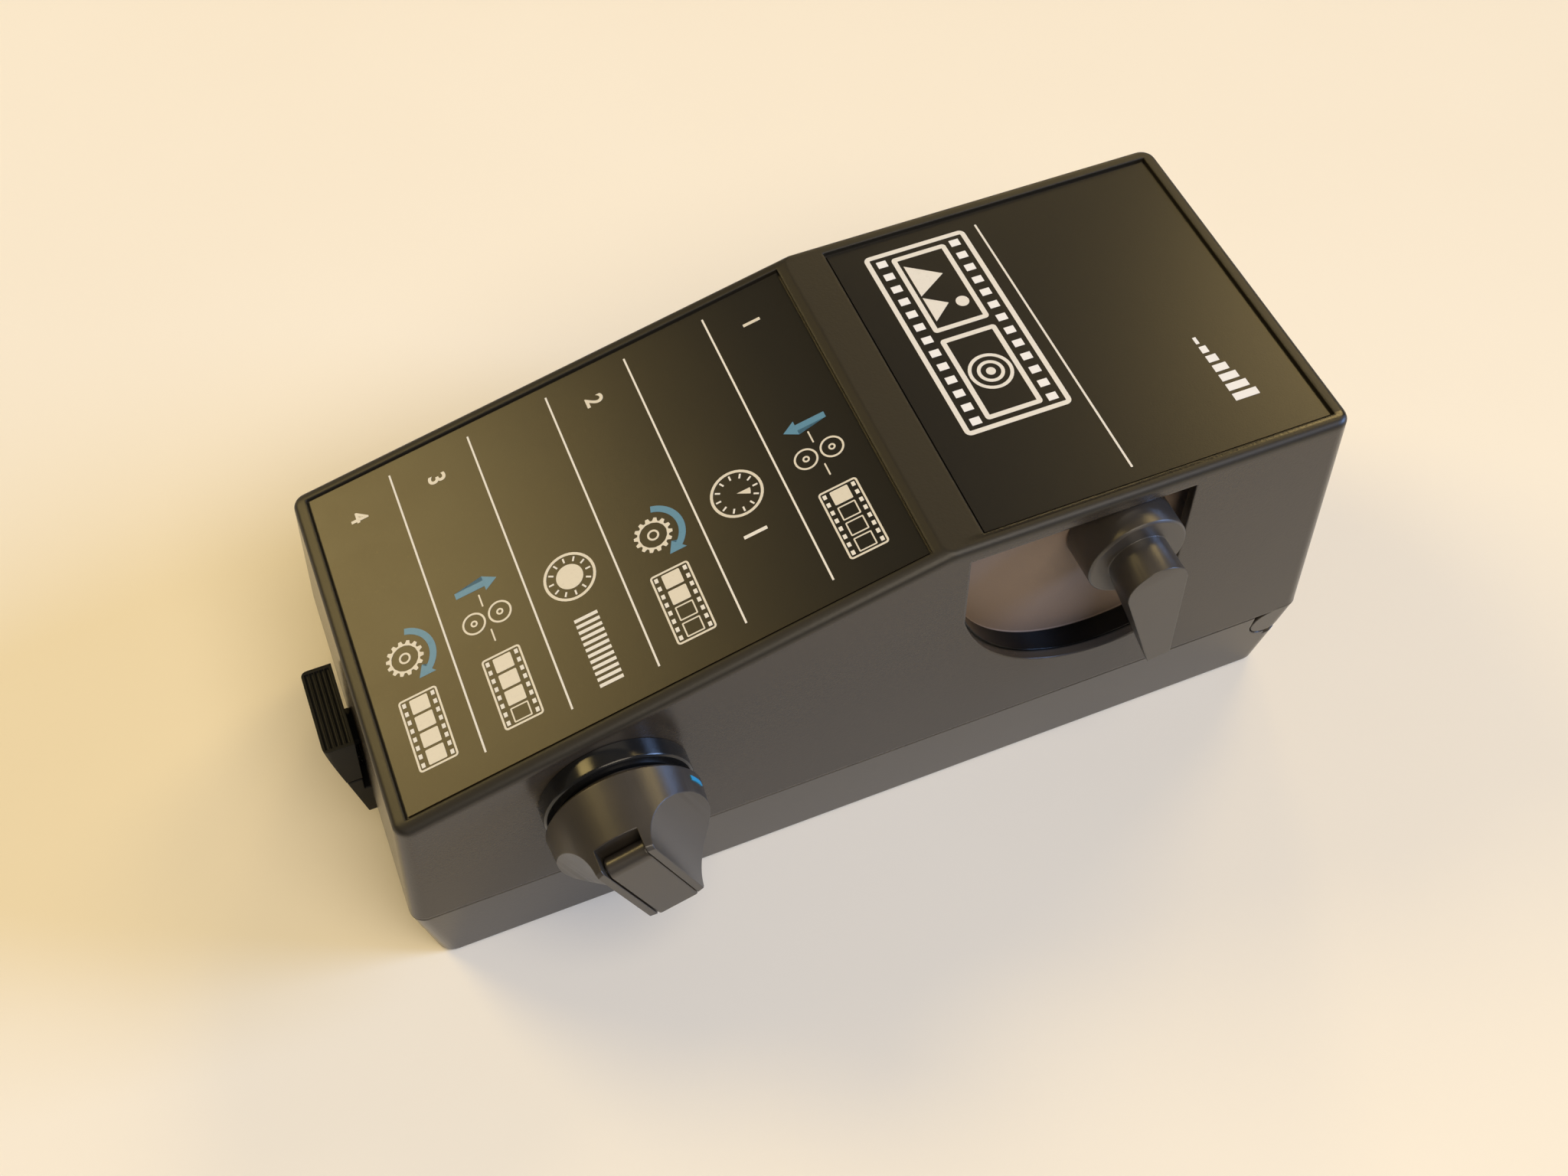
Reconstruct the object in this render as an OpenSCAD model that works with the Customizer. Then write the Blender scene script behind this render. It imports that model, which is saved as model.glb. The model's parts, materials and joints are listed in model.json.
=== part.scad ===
// Hand-cranked instant slide processor: hinged housing, crank, lever and winding works.
// Millimetres. +X runs from the low end to the tall end, the crank side faces -Y, +Z is up.
// The origin is the middle of the flat underside.

/* [Housing] */
// Length of the lid along its top rim
top_len = 240; // [220:1:270]
// Width of the lid across the rim at the tall end
top_w = 101; // [97:1:120]
// Height of the tall end
lid_h = 105.5; // [103:0.5:120]
// Height of the low end
low_h = 70.5; // [69:0.5:80]
// Where the slope meets the flat top, from the middle of the length
ridge_x = 14.7; // [8:0.1:20]
// Height of the parting line between base and lid
part_z = 29; // [28:0.5:31]
// Lean of each long lid wall between the rim and the parting line
draft = 3; // [2:0.1:4]
// Lean of each end of the lid between the rim and the parting line
end_draft = 4; // [3.5:0.1:4.5]
// Thickness of the lid walls
wall = 2.5; // [2:0.1:3]
// Thickness of the roof under the labels
roof_t = 2.6; // [1.8:0.1:3.5]
// Radius of the upright corners
corner_r = 4; // [3:0.5:6]
// Rounding of the lid's top edge
rim_fillet = 1.8; // [0.5:0.1:2]
// Open line between base and lid
part_gap = 0.3; // [0.2:0.05:0.6]

/* [Base tray] */
// Thickness of the base walls
base_wall = 4.2; // [3.8:0.1:5]
// Thickness of the base floor
base_floor = 3; // [2:0.1:4]
// Lean of the long base walls, from the parting line to the underside
base_taper = 2.5; // [1.5:0.1:4]
// Lean of the low end wall of the base
rake_low = 2.7; // [1.5:0.1:4]
// Lean of the tall end wall of the base
rake_tall = 4.2; // [3:0.1:5.5]
// Rounding of the bottom edge
bottom_fillet = 2; // [1:0.1:3]
// Height of the light lip above the parting line
lip_h = 3; // [1.5:0.1:3.2]
// Gap between the light lip and the lid walls
lip_gap = 0.6; // [0.4:0.05:0.8]
// Radius of the grip pads in the underside
pad_r = 6; // [4:0.5:8]
// Thickness of the grip pads
pad_t = 1.4; // [0.8:0.1:2]

/* [Labels] */
// Width of the rim around the labels
rim_w = 3.4; // [3:0.1:6]
// Depth of the label recesses
label_depth = 1.6; // [1:0.1:2]
// Thickness of the label plates
label_t = 0.8; // [0.4:0.1:1]
// Open line around the label plates
label_gap = 0.7; // [0.3:0.05:0.9]
// Bare band from the sloped label up to the ridge
band_low = 2.7; // [1:0.1:5]
// Bare band from the ridge to the flat label
band_high = 10; // [6:0.5:14]

/* [Lid hinge] */
// Hinge axis in from the tall end of the top rim
hinge_in = 3.7; // [3.5:0.1:4.2]
// Height of the hinge axis
hinge_z = 23.8; // [23.5:0.1:24.5]
// Radius of the lid's hinge barrel
barrel_r = 5.5; // [5:0.1:5.8]
// Gap round the hinge barrel
barrel_gap = 0.5; // [0.3:0.05:0.8]
// Radius of the hinge pins
hinge_pin_r = 1.5; // [1.2:0.1:2]
// Width of each hinge lug on the base
lug_w = 10; // [6:0.5:14]
// Distance of the hinge lugs from the middle
lug_y = 30; // [24:1:34]

/* [Crank] */
// Distance of the crank axis from the low end of the rim
crank_x = 50.8; // [48:0.1:56]
// Depth of the crank axis below the sloped roof
crank_drop = 23.4; // [22.5:0.1:24.5]
// Radius of the gloss collar behind the knob
collar_r = 18.5; // [16:0.1:19]
// How far the collar stands off the wall
collar_t = 4.5; // [3:0.1:7]
// Dark gap between collar and knob
knob_gap = 2.4; // [1.5:0.1:3]
// Radius of the knob at its back edge
knob_r = 19.2; // [18:0.1:20]
// Radius of the knob at its front face
knob_front_r = 17.7; // [17.4:0.1:18.5]
// Depth of the knob
knob_t = 20; // [18:0.1:24]
// Tilt of the fin's cheeks from upright
fin_tilt = 18.9; // [0:0.1:45]
// Thickness of the fin at the front face
fin_w = 14.4; // [13.6:0.1:16]
// Radius of the finger scoops
scoop_r = 13.5; // [13:0.5:20]
// Depth of the finger scoops behind the front of the knob
scoop_depth = 13; // [11:0.5:13]
// Width of the fold-out handle
handle_w = 10.6; // [9:0.1:11]
// Thickness of the fold-out handle
handle_t = 5.2; // [4:0.1:5.6]
// Distance of the handle's pivot from the crank axis
handle_pivot = 11.8; // [10:0.1:12.5]
// Distance of the handle's free end from the crank axis
handle_reach = 17.2; // [15.5:0.1:18.5]
// Gap on each side of the handle in its slot
handle_gap = 0.2; // [0.1:0.05:0.3]
// Radius of the handle's pivot pin
handle_pin_r = 1; // [0.8:0.1:1.2]
// Radius of the crank shaft
crank_shaft_r = 3; // [2.5:0.1:3.5]

/* [Lever] */
// Distance of the lever axis from the tall end of the rim
lever_x = 57.5; // [54:0.1:62]
// Depth of the lever axis below the flat roof
lever_drop = 18.1; // [17.9:0.1:20]
// Lowest point of the lever recess, above the parting line
well_low = 15; // [12:0.1:18]
// Reach of the recess from the lever axis towards the tall end
well_right = 16; // [15:0.1:18]
// Depth of the lever recess
well_depth = 7; // [5:0.1:8]
// Thickness of the recess cup
cup_t = 2; // [1.5:0.1:2.5]
// Ledge of the cup inside the window in the wall
cup_ledge = 0.6; // [0.3:0.1:1]
// How far the cup reaches behind the wall, past the right edge of the window
cup_right = 6; // [3:0.1:7]
// Radius of the lever's back disc
disc_r = 12.8; // [11:0.1:13]
// How far the back disc stands out of the wall
disc_proud = 4.8; // [3:0.1:6]
// How far the lever's front face stands out of the wall
lever_proud = 14.6; // [12:0.1:18]
// Radius of the lever's hub
hub_r = 7.7; // [7:0.1:9]
// Length of the lever arm from its axis
arm_len = 34.6; // [30:0.1:38]
// Width of the arm at its tip
arm_tip_w = 6.2; // [5:0.1:9]
// Thickness of the arm at its tip
arm_tip_t = 1.8; // [1:0.1:4]
// Lean of the resting arm towards the tall end
arm_lean = 11.2; // [0:0.1:14]
// Radius of the lever shaft
lever_shaft_r = 4; // [3.5:0.1:4.5]

/* [Latch] */
// Width of the latch
latch_w = 25; // [20:0.5:30]
// Height of the ribbed top of the latch
latch_top = 50.5; // [48:0.5:53]
// Height of the split between button and guard
latch_split = 33.6; // [32.5:0.1:35]
// Height of the lower end of the guard
latch_low = 16.8; // [14:0.1:17.5]
// Reach of the latch past the top rim, at its top
latch_reach = 11.4; // [10.8:0.1:13]
// Inward lean of the latch's outer face for each millimetre of height
latch_lean = 0.132; // [0.1:0.005:0.15]
// Gap between the button and the guard
latch_gap = 0.8; // [0.5:0.1:1.2]
// Gap between the button and the lid wall
latch_back = 1.6; // [1.5:0.1:2]
// Ribs across the ribbed top
latch_ribs = 5; // [3:1:6]
// Radius of the latch pin
latch_pin_r = 0.8; // [0.7:0.05:0.9]

/* [Gears] */
// Gear module
gear_mod = 1.5; // [1.4:0.05:1.6]
// Pressure angle of the teeth
gear_angle = 25; // [22:0.5:27]
// Face width of the gears
gear_w = 5; // [4:0.1:6]
// Play between meshing teeth
gear_play = 0.24; // [0.15:0.01:0.35]
// Teeth on the crank gear
crank_teeth = 20; // [19:1:20]
// Teeth on the idler gear
idler_teeth = 24; // [22:1:24]
// Teeth on the drum gear
drum_teeth = 28; // [26:1:29]
// Teeth on the rewind idler and on the rewind gear
rewind_teeth = 14; // [14:1:15]

/* [Winding works] */
// Thickness of the mechanism plates
plate_t = 2.5; // [2:0.1:3]
// Clear width between the mechanism plates
works_w = 59; // [56:0.5:60]
// Radius of the take-up drum
drum_r = 28; // [24:0.5:28.5]
// Radius of the drum's end flanges
flange_r = 31; // [29.5:0.5:31.5]
// Radius of the drum axle
drum_axle_r = 3; // [2.5:0.1:3.5]
// Swing radius of the presser roller
presser_swing = 22; // [18:0.5:24]
// Radius of the presser roller
presser_r = 6; // [4.5:0.5:7]
// Radius of the film guide roller
guide_r = 5; // [4:0.5:5.5]
// Diameter of the film cassette that the cradle takes
cassette_d = 25; // [25:0.1:26]
// Length of the cassette chamber
cassette_len = 50; // [48:0.5:52]
// Radial play of a shaft in its bearing
running = 0.05; // [0.02:0.01:0.08]
// Radial play of a piece fixed on its shaft
fixed_play = 0.02; // [0.01:0.01:0.03]

/* [Hidden] */
$fn = 64;
over = 1;

// Outlines of the housing
low_x = -top_len / 2;
tall_x = top_len / 2;
slope = atan2(lid_h - low_h, ridge_x - low_x);
slope_len = norm([lid_h - low_h, ridge_x - low_x]);
roof_drop = label_depth + roof_t;
lid_bottom = part_z + part_gap;
function half_w(z) = top_w / 2 + draft * (lid_h - z) / (lid_h - part_z);
function roof_z(x) = min(lid_h, low_h + (x - low_x) * tan(slope));
function low_wall(z) = low_x - end_draft * (low_h - z) / (low_h - part_z);
function low_base(z) = low_x - end_draft + rake_low * (part_z - z) / part_z;

// Grip pad places
pad_x = [low_x + 16, tall_x - 20];
pad_y = half_w(part_z) - base_taper - 14;

// Hinge and lever places
hinge_x = tall_x - hinge_in;
hinge_drop = 7.6;
hinge_block = 6;
lever_z = lid_h - lever_drop;
lever_wall = half_w(lever_z);
well_r = lever_z - part_z - well_low;
well_floor = lever_wall - well_depth;
well_top = lid_h - roof_drop - 0.3;
well_side = 14;
lever_front = lever_wall + lever_proud;
disc_front = lever_wall + disc_proud;

// Height of the crank axis, and its other places as distances out from the middle plane
crank_z = roof_z(low_x + crank_x) - crank_drop;
collar_front = half_w(crank_z) + collar_t;
knob_back = collar_front + knob_gap;
slot_depth = handle_t + 0.5;
handle_r = handle_t / 2;
scoop_rise = scoop_r - scoop_depth;
scoop_in = fin_w / 2 + sqrt(pow(scoop_r, 2) - pow(scoop_rise, 2));

// Layers of the winding works, as distances out from the middle plane
gear_out = well_floor - cup_t - 2;
gear_in = gear_out - gear_w;
plate_out = gear_in - 1.5;
plate_in = plate_out - plate_t;
plate_back = plate_in - works_w;

// Gear centres in the X-Z plane, and the phase of each gear
function mesh_gap(a, b) = gear_mod * (a + b) / 2 + 0.1;
function beside(from, reach, angle) = from + reach * [cos(angle), sin(angle)];
function mesh_phase(angle, teeth, phase, next) = angle + 180 - 180 / next + (angle - phase) * teeth / next;
crank_at = [low_x + crank_x, crank_z];
idler_dir = -15;
idler_at = beside(crank_at, mesh_gap(crank_teeth, idler_teeth), idler_dir);
drum_z = lid_h - 43;
drum_dir = asin((drum_z - idler_at[1]) / mesh_gap(idler_teeth, drum_teeth));
drum_at = beside(idler_at, mesh_gap(idler_teeth, drum_teeth), drum_dir);
rewind_z = base_floor + cassette_d / 2 + 2;
rewind_drop = crank_z - rewind_z - mesh_gap(rewind_teeth, rewind_teeth);
rewind_dir = 180 + asin(min(0.98, rewind_drop / mesh_gap(crank_teeth, rewind_teeth)));
rewind_idler_at = beside(crank_at, mesh_gap(crank_teeth, rewind_teeth), rewind_dir);
part_dir = atan2(rewind_idler_at[1] - hinge_z, rewind_idler_at[0] - hinge_x) + 90;
rewind_at = beside(rewind_idler_at, mesh_gap(rewind_teeth, rewind_teeth), part_dir);
lever_at = [tall_x - lever_x, lever_z];
presser_at = lever_at - [0, presser_swing];
idler_phase = mesh_phase(idler_dir, crank_teeth, 0, idler_teeth);
drum_phase = mesh_phase(drum_dir, idler_teeth, idler_phase, drum_teeth);
rewind_idler_phase = mesh_phase(rewind_dir, crank_teeth, 0, rewind_teeth);
rewind_phase = mesh_phase(part_dir, rewind_teeth, rewind_idler_phase, rewind_teeth);

// Mechanism plates and what fixes them
plate_low = part_z + lip_h + 0.4;
plate_x = [low_x + 13, tall_x - 22];
plate_shy = 9;
boss_r = 3.5;
screw_r = 1.5;
screw_head_r = 3;
screw_head_h = 2;
screw_grip = 10;
boss_at = [
    [low_x + 17, part_z + 17], [crank_at[0] + 10, part_z + 9], drum_at + [-24, 18],
    [drum_at[0] + 30, part_z + 9], [plate_x[1] - 5, lever_z - 5], [plate_x[1] - 8, part_z + 11]
];
tie_r = 3;
tie_at = [[low_x + 26, part_z + 19], idler_at + [-9, 17], [plate_x[1] - 6, part_z + 31]];
axle_r = 2.5;
axle_head_r = 4;
axle_head_t = 1.2;
guide_at = idler_at + [-12, -12.5];
roller_axle_r = 2;
guide_side = 4;
drum_side = 3;
axle_side = 5.5;
roller_side = 10.5;
bush_wall = 3;

// Latch places
tongue_r = 1.5;
tongue_gap = 0.4;
latch_z = part_z - 1.5;
latch_pivot = [low_base(latch_z) - tongue_r - tongue_gap, latch_z];
tongue_w = 10;
function latch_out(z) = low_x - latch_reach + latch_lean * (latch_top - z);
function latch_in(z) = low_wall(z) - latch_back;

body_black = "#2b2927";
gloss_black = "#141414";
satin_black = "#232120";
inner_grey = "#56544f";
steel = "#b4b6b8";
acetal = "#d8d4c6";
rubber = "#1d1d1d";

// Turns local X, Y, Z into X, up and out of the crank side, at a point of the X-Z plane
module at_side(at, out = 0) {
    translate([at[0], -out, at[1]]) rotate([90, 0, 0]) children();
}

// Tube or rod that runs out of the crank side, between two distances from the middle plane
module rod(at, from, to, r) {
    at_side(at, from) cylinder(r = r, h = to - from);
}

// One corner of the rim: a ring as large as the upright corner, with the rounding of the edge
module rim_corner(r, fillet) {
    translate([0, 0, -fillet])
        rotate_extrude($fn = 32) translate([r - fillet, 0]) circle(r = fillet, $fn = 24);
}

module lid_outer() {
    hull() for (side = [-1, 1]) {
        translate([low_x + corner_r, side * (half_w(low_h) - corner_r), low_h])
            rim_corner(corner_r, rim_fillet);
        for (x = [ridge_x + corner_r - rim_fillet, tall_x - corner_r])
            translate([x, side * (half_w(lid_h) - corner_r), lid_h]) rim_corner(corner_r, rim_fillet);
        for (end = [-1, 1])
            translate([end * (tall_x + end_draft - corner_r), side * (half_w(lid_bottom) - corner_r), lid_bottom])
                cylinder(r = corner_r, h = 0.01, $fn = 32);
    }
}

// Hollow of the lid, with the same draft as the outside
module lid_inner() {
    r = max(corner_r - wall, 0.5);
    ridge_in = ridge_x + roof_drop * tan(slope / 2);
    low_in = low_h + wall * tan(slope) - roof_drop / cos(slope);
    hull() for (side = [-1, 1]) {
        translate([low_x + wall + r, side * (half_w(low_h) - wall - r), low_in - 1])
            cylinder(r = r, h = 1, $fn = 24);
        for (x = [ridge_in + r, tall_x - wall - r])
            translate([x, side * (half_w(lid_h) - wall - r), lid_h - roof_drop - 1])
                cylinder(r = r, h = 1, $fn = 24);
        for (end = [-1, 1])
            translate([end * (tall_x + end_draft - wall - r), side * (half_w(part_z) - wall - r), part_z - over])
                cylinder(r = r, h = 1, $fn = 24);
    }
}

// Outside of the base: upright corners at the top, a rounded edge round the underside
module base_form(top) {
    r = corner_r + 1;
    hull() {
        for (end = [-1, 1], side = [-1, 1])
            translate([end * (tall_x + end_draft - corner_r), side * (half_w(part_z) - corner_r), top - 0.01])
                cylinder(r = corner_r, h = 0.01, $fn = 32);
        for (x = [low_x - end_draft + rake_low + r, tall_x + end_draft - rake_tall - r], side = [-1, 1])
            translate([x, side * (half_w(part_z) - base_taper - r), 0]) mirror([0, 0, 1])
                rim_corner(r, bottom_fillet);
    }
}

// Upright block with the outline of the parting line drawn in by a margin
module part_block(inset, z0, z1, x1) {
    r = max(corner_r - inset, 0.5);
    intersection() {
        hull() for (end = [-1, 1], side = [-1, 1])
            translate([end * (tall_x + end_draft - inset - r), side * (half_w(part_z) - inset - r), z0])
                cylinder(r = r, h = z1 - z0, $fn = 32);
        translate([low_x - 10, -top_w, z0 - over]) cube([x1 - low_x + 10, 2 * top_w, z1 - z0 + 2 * over]);
    }
}

// Space round the lid's hinge barrel, grown by a gap
module hinge_space(grow) {
    length = 2 * top_w;
    at_side([hinge_x, hinge_z], -length / 2) cylinder(r = barrel_r + grow, h = length);
    translate([hinge_x, -length / 2, hinge_z]) cube([hinge_in + end_draft + over, length, part_z]);
}

module base_tray() {
    floor_w = half_w(part_z) - base_taper - base_wall;
    inner_x1 = hinge_x - barrel_r - hinge_block;
    rib_y = floor_w - 6;
    rib_t = 2;
    rib_h = 14;
    color(body_black) difference() {
        union() {
            difference() {
                base_form(part_z);
                translate([0, 0, base_floor]) part_block(base_wall + base_taper - 1, 0, part_z, inner_x1);
                translate([0, 0, part_z - 8]) part_block(base_wall, 0, part_z, inner_x1);
                hinge_space(barrel_gap);
                translate([hinge_x, -top_w, hinge_z - hinge_drop])
                    cube([2 * hinge_in + 10, 2 * top_w, part_z]);
                translate([hinge_x - barrel_r - barrel_gap, -top_w, hinge_z]) cube([20, 2 * top_w, part_z]);
            }
            difference() {
                part_block(wall + lip_gap, part_z - 2, part_z + lip_h, inner_x1);
                translate([0, 0, -over])
                    part_block(base_wall, part_z - 2, part_z + lip_h + 2 * over, inner_x1 + over);
            }
            for (side = [-1, 1]) {
                translate([-50, side * rib_y - rib_t / 2, base_floor - over])
                    cube([inner_x1 + 45, rib_t, rib_h + over]);
                at_side([hinge_x, hinge_z], side * lug_y - lug_w / 2) {
                    cylinder(r = barrel_r - 0.1, h = lug_w);
                    translate([-barrel_r + 0.1, -hinge_drop - over, 0])
                        cube([2 * barrel_r - 1.2, hinge_drop + over, lug_w]);
                }
            }
        }
        for (side = [-1, 1])
            rod([hinge_x, hinge_z], side * lug_y - lug_w / 2 - over, side * lug_y + lug_w / 2 + over,
                hinge_pin_r + fixed_play);
        for (x = pad_x, side = [-1, 1])
            translate([x, side * pad_y, -over]) cylinder(r = pad_r + fixed_play, h = pad_t + over);
    }
}

module grip_pads() {
    color(rubber) for (x = pad_x, side = [-1, 1])
        translate([x, side * pad_y, 0]) cylinder(r = pad_r, h = pad_t - fixed_play);
}

// Saddle that holds the film cassette, with a bulkhead for the rewind spindle
module cassette_cradle() {
    r = cassette_d / 2 + 0.5;
    side_t = 3;
    front = plate_in + 2;
    chamber_out = front - 7;
    chamber_in = chamber_out - cassette_len;
    high = rewind_at[1] + 6;
    color(inner_grey) difference() {
        translate([rewind_at[0] - r - side_t, -front, base_floor])
            cube([2 * (r + side_t), front - chamber_in + 5, high - base_floor]);
        rod(rewind_at, chamber_in, chamber_out, r);
        translate([rewind_at[0] - r, -chamber_out, rewind_at[1]]) cube([2 * r, cassette_len, part_z]);
        rod(rewind_at, chamber_out - over, front + over, crank_shaft_r + bush_wall - 1 + fixed_play);
        rod(rewind_at, chamber_in - 3, chamber_in + over, 5.5);
    }
}

module rewind_bush() {
    front = plate_in + 2;
    color(acetal) difference() {
        rod(rewind_at, front - 7, front, crank_shaft_r + bush_wall - 1);
        rod(rewind_at, front - 8, front + over, crank_shaft_r + running);
    }
}

module hinge_pins() {
    color(steel) for (side = [-1, 1]) {
        inner = lug_y - lug_w / 2 + 0.5;
        outer = lug_y + lug_w / 2 + 8;
        rod([hinge_x, hinge_z], side > 0 ? inner : -outer, side > 0 ? outer : -inner, hinge_pin_r);
    }
}

// Side view of the latch between two heights, as a slab across the width
module latch_slab(points, width) {
    at_side([0, 0], -width / 2) linear_extrude(width) polygon(points);
}

module latch_guard() {
    top = latch_split - latch_gap / 2;
    neck = part_z - 0.5;
    color(gloss_black) difference() {
        latch_slab([
            [latch_out(top), top], [latch_out(latch_low), latch_low], [low_base(latch_low), latch_low],
            [low_base(neck), neck], [latch_in(part_z), neck], [latch_in(top), top]
        ], latch_w);
        rod(latch_pivot, -tongue_w / 2 - 0.3, tongue_w / 2 + 0.3, tongue_r + tongue_gap);
        translate([latch_pivot[0] - tongue_r - tongue_gap, -tongue_w / 2 - 0.3, latch_pivot[1]])
            cube([2 * tongue_r + 1.4, tongue_w + 0.6, part_z]);
        rod(latch_pivot, -latch_w / 2 + 2, latch_w / 2 - 2, latch_pin_r + fixed_play);
    }
}

module latch_pin() {
    color(steel) rod(latch_pivot, -latch_w / 2 + 2.2, latch_w / 2 - 2.2, latch_pin_r);
}

// Closed tube swept along a helix round the latch pin
module latch_spring() {
    wire = 0.3;
    coil_r = latch_pin_r + wire + 0.15;
    turns = 4;
    steps = 16;
    sides = 6;
    pitch = 1.1;
    count = turns * steps;
    points = [for (i = [0:count], j = [0:sides - 1])
        let (turn = 360 * i / steps, tube = 360 * j / sides, r = coil_r + wire * cos(tube))
            [r * cos(turn), r * sin(turn), pitch * i / steps + wire * sin(tube)]];
    skin = [for (i = [0:count - 1], j = [0:sides - 1])
        let (a = i * sides + j, b = i * sides + (j + 1) % sides)
            each [[a, b, a + sides], [b, b + sides, a + sides]]];
    ends = [[for (j = [sides - 1:-1:0]) j], [for (j = [0:sides - 1]) count * sides + j]];
    color(steel) at_side(latch_pivot, tongue_w / 2 - turns * pitch - 1.2)
        polyhedron(points, concat(skin, ends));
}

// Ribbed thumb piece with a tongue down to the pin and a nose towards the lid
module latch_button() {
    low = latch_split + latch_gap / 2;
    ledge = latch_in(latch_top) - latch_out(latch_top);
    latch_corner = 1.6;
    groove_r = 0.55;
    nose_w = 8;
    spring_w = 6.4;
    color(gloss_black) difference() {
        union() {
            intersection() {
                latch_slab([
                    [latch_out(latch_top), latch_top], [latch_out(low), low],
                    [latch_in(low), low], [latch_in(latch_top), latch_top]
                ], latch_w);
                linear_extrude(2 * latch_top) hull() for (side = [-1, 1]) {
                    translate([latch_out(latch_top) + latch_corner, side * (latch_w / 2 - latch_corner)])
                        circle(r = latch_corner, $fn = 32);
                    translate([low_x - over, side * (latch_w / 2 - 0.5)]) square(1, center = true);
                }
            }
            rod(latch_pivot, -tongue_w / 2, tongue_w / 2, tongue_r);
            latch_slab([
                [latch_pivot[0] - tongue_r + 0.4, latch_pivot[1]],
                [latch_pivot[0] + tongue_r - 0.6, latch_pivot[1]],
                [latch_pivot[0] + tongue_r - 0.6, low + 1], [latch_pivot[0] - tongue_r + 0.4, low + 1]
            ], tongue_w);
            latch_slab([
                [latch_in(low) - 1, low + 1.5], [low_wall(low) + wall - 0.6, low + 2.5],
                [low_wall(low) + wall - 0.6, low + 4], [latch_in(low) - 1, low + 5]
            ], nose_w);
        }
        for (i = [1:latch_ribs])
            rod([latch_out(latch_top) + i * ledge / (latch_ribs + 1), latch_top + 0.1],
                -latch_w / 2 + 1, latch_w / 2 - 1, groove_r);
        rod(latch_pivot, -tongue_w, tongue_w, latch_pin_r + running);
        rod(latch_pivot, tongue_w / 2 - spring_w, tongue_w / 2 - 0.6, latch_pin_r + 1.6);
        translate([latch_pivot[0] - 3, -tongue_w / 2 + 0.6, latch_pivot[1] - 3]) cube([6, spring_w - 0.6, 3]);
    }
}

// Outline of a label, in a plane whose origin is the start of that stretch of roof
module slope_outline(inset) {
    ends = [rim_w + inset, slope_len - band_low - inset];
    side = [for (run = ends) half_w(low_h + run * sin(slope)) - rim_w - inset];
    polygon([[ends[0], -side[0]], [ends[1], -side[1]], [ends[1], side[1]], [ends[0], side[0]]]);
}

module flat_outline(inset) {
    side = half_w(lid_h) - rim_w - inset;
    translate([ridge_x + band_high + inset, -side])
        square([tall_x - rim_w - ridge_x - band_high - 2 * inset, 2 * side]);
}

module on_slope(depth) {
    translate([low_x, 0, low_h]) rotate([0, -slope, 0]) translate([0, 0, -depth]) children();
}

module on_flat(depth) {
    translate([0, 0, lid_h - depth]) children();
}

// Shape of the lever recess, grown by a margin and to the right, between two distances from the middle plane
module well_form(grow, from, to, right = 0) {
    r = well_r + grow;
    left = well_r * cos(well_side) + grow;
    width = left + well_right + right + grow;
    depth = to - from;
    intersection() {
        union() {
            rod(lever_at, from, to, r);
            translate([lever_at[0] - left - over, -to, lever_z])
                cube([width + 2 * over, depth, well_top + grow - lever_z]);
        }
        translate([lever_at[0] - left, -to - over, lever_z - r - over])
            cube([width, depth + 2 * over, well_top + grow - lever_z + r + over]);
    }
}

module lid_shell() {
    slot_w = lug_w + 0.6;
    wall_in = half_w(lid_h) - wall - 0.1;
    color(body_black) difference() {
        union() {
            difference() {
                lid_outer();
                lid_inner();
            }
            intersection() {
                base_form(lid_bottom + 0.5);
                hinge_space(0);
            }
            for (at = boss_at) {
                rod(at, plate_out, half_w(at[1]) - wall / 2, boss_r);
                rod(at, -half_w(at[1]) + wall / 2, plate_back - plate_t, boss_r);
            }
        }
        on_slope(label_depth) linear_extrude(label_depth + 5) slope_outline(0);
        on_flat(label_depth) linear_extrude(label_depth + 5) flat_outline(0);
        well_form(0, wall_in, half_w(part_z) + over);
        rod(crank_at, wall_in - 2, half_w(part_z) + over, crank_shaft_r + bush_wall + fixed_play);
        for (at = boss_at) {
            rod(at, plate_out - over, plate_out + screw_grip + 0.5, screw_r + fixed_play);
            rod(at, plate_back - plate_t - screw_grip - 0.5, plate_back - plate_t + over,
                screw_r + fixed_play);
        }
        for (side = [-1, 1]) {
            translate([hinge_x - 10, side * lug_y - slot_w / 2, 0])
                cube([30, slot_w, hinge_z + barrel_r + 2]);
            rod([hinge_x, hinge_z], side > 0 ? lug_y : -lug_y - lug_w / 2 - 9,
                side > 0 ? lug_y + lug_w / 2 + 9 : -lug_y, hinge_pin_r + running);
        }
        translate([low_x - 5, -5, lid_bottom - over]) cube([5 + wall + 1, 10, 13]);
    }
}

module slope_label() {
    color(satin_black) on_slope(label_depth) linear_extrude(label_t) slope_outline(label_gap);
}

module flat_label() {
    color(satin_black) on_flat(label_depth) linear_extrude(label_t) flat_outline(label_gap);
}

// Cup behind the window in the wall, in which the lever turns
module lever_well() {
    color(body_black) difference() {
        intersection() {
            well_form(cup_t, well_floor - cup_t, lever_wall + 2, cup_right);
            lid_inner();
        }
        well_form(-cup_ledge, well_floor, lever_wall + 4, cup_right);
        rod(lever_at, well_floor - cup_t - over, well_floor + over, lever_shaft_r + bush_wall + fixed_play);
    }
}

module crank_collar() {
    color(gloss_black) difference() {
        at_side(crank_at, half_w(lid_h) - 1) rotate_extrude() polygon([
            [0, 0], [collar_r, 0], [collar_r, collar_front - half_w(lid_h) + 0.5],
            [collar_r - 0.5, collar_front - half_w(lid_h) + 1], [0, collar_front - half_w(lid_h) + 1]
        ]);
        lid_outer();
        rod(crank_at, 0, collar_front + over, crank_shaft_r + bush_wall + fixed_play);
    }
}

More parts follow.
